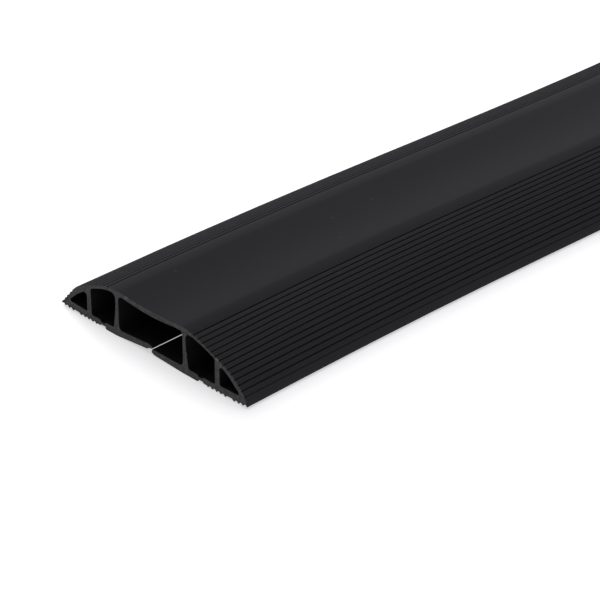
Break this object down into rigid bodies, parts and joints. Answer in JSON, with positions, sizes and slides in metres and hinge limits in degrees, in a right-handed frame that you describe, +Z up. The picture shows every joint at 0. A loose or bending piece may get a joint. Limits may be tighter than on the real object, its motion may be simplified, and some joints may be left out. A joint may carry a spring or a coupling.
{
  "type": "floor cord cover",
  "caption": "Low arched black floor trunking with ribbed slopes, a smooth walking band, hollow channels and a slit underneath for pushing cords in.",
  "frame": {"origin": "on the floor under the middle of the strip: centre of the bounding box in X and Y, lowest point in Z", "axes": "+X along the strip, +Y across it towards the slightly lifted floor lip, +Z up out of the floor"},
  "size_m": [1, 0.08, 0.015],
  "materials": {
    "cover_rubber": "satin black soft plastic, matt on the ribbed slopes"
  },
  "bodies": {
    "root": {"cord_cover": "cover_rubber"}
  },
  "joints": []
}
